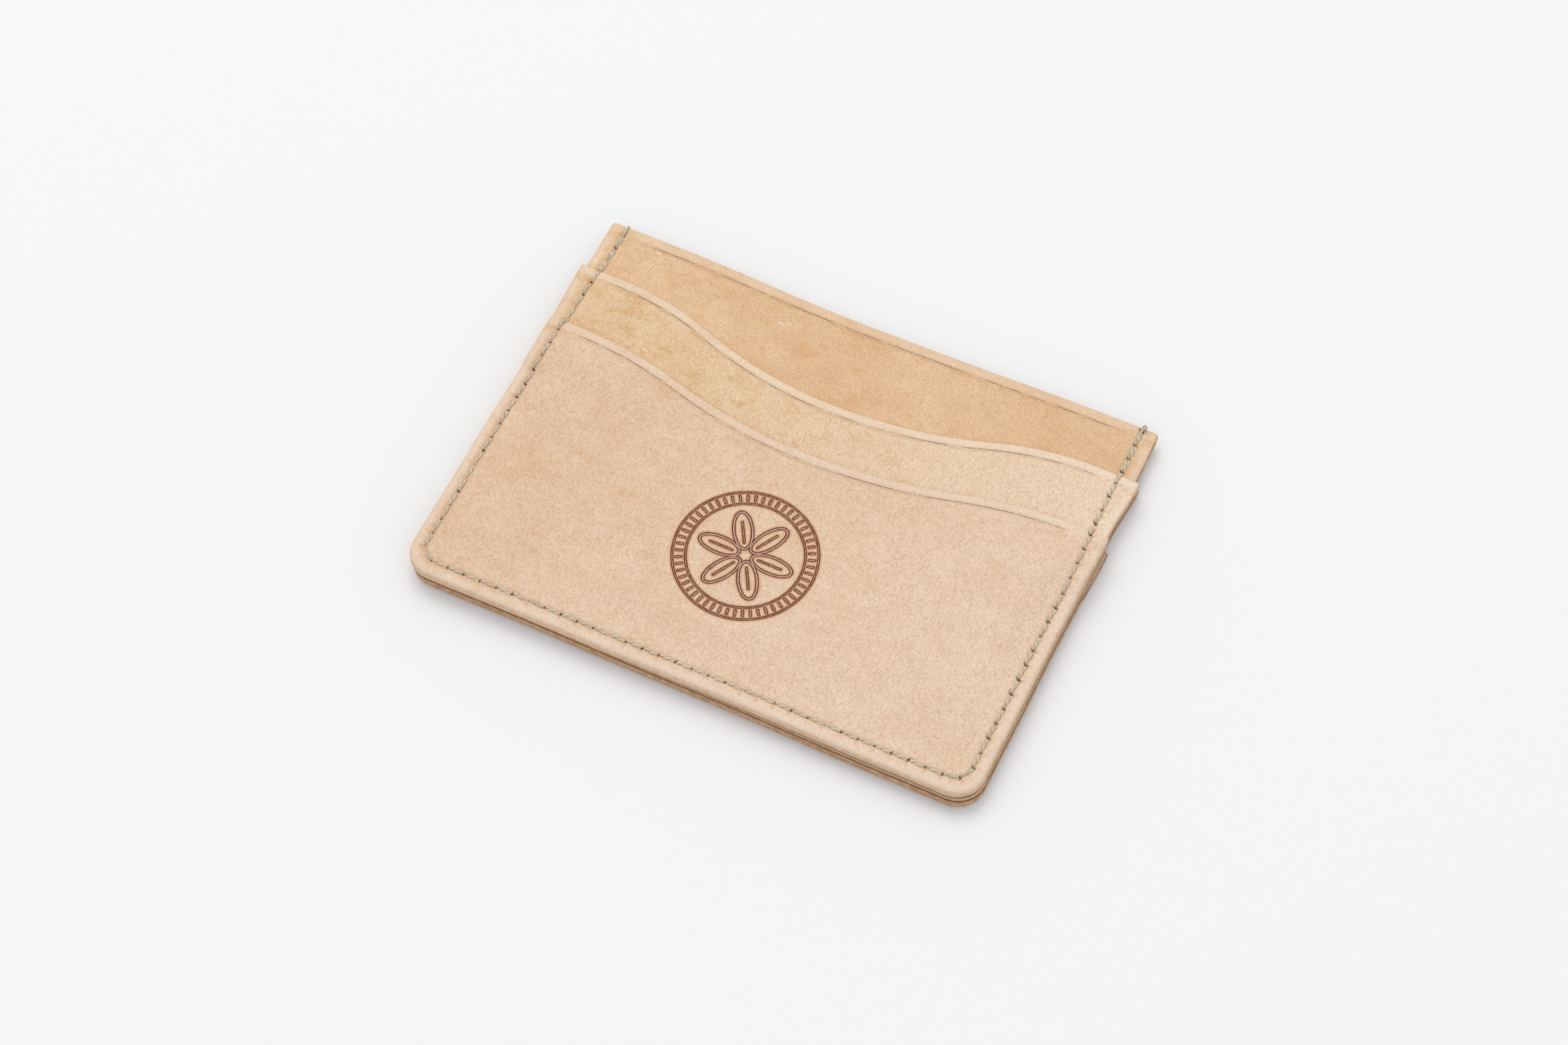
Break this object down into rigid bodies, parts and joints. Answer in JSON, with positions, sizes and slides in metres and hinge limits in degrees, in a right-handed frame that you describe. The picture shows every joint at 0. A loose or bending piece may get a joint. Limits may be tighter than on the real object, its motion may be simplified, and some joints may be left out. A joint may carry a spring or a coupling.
{
  "type": "card holder",
  "caption": "Slim leather card holder with a centre pocket and stepped curved-mouth card pockets on both faces, saddle-stitched round the bottom and sides.",
  "frame": {"origin": "under the middle of the holder, on the plane of the rear pocket that it lies on", "axes": "+X across the mouth, to the right seen from the stamped front; +Y from the bottom seam to the mouth; +Z out of the stamped front face, through the layers"},
  "size_m": [0.1042, 0.078, 0.0056],
  "materials": {
    "outer_pocket_leather": "undyed vegetable-tanned leather, smooth matt grain with fine speckle",
    "mid_pocket_leather": "undyed vegetable-tanned leather, mottled matt grain",
    "full_panel_leather": "undyed vegetable-tanned leather, slightly more tanned than the pockets",
    "linen_thread": "waxed twisted linen thread, pale grey-beige"
  },
  "bodies": {
    "root": {"front_outer_pocket": "outer_pocket_leather", "front_mid_pocket": "mid_pocket_leather", "front_full_panel": "full_panel_leather", "rear_full_panel": "full_panel_leather", "rear_mid_pocket": "mid_pocket_leather", "rear_outer_pocket": "outer_pocket_leather", "saddle_thread_one": "linen_thread", "saddle_thread_two": "linen_thread", "front_tee_thread_one": "linen_thread", "front_tee_thread_two": "linen_thread", "rear_tee_thread_one": "linen_thread", "rear_tee_thread_two": "linen_thread"}
  },
  "joints": []
}
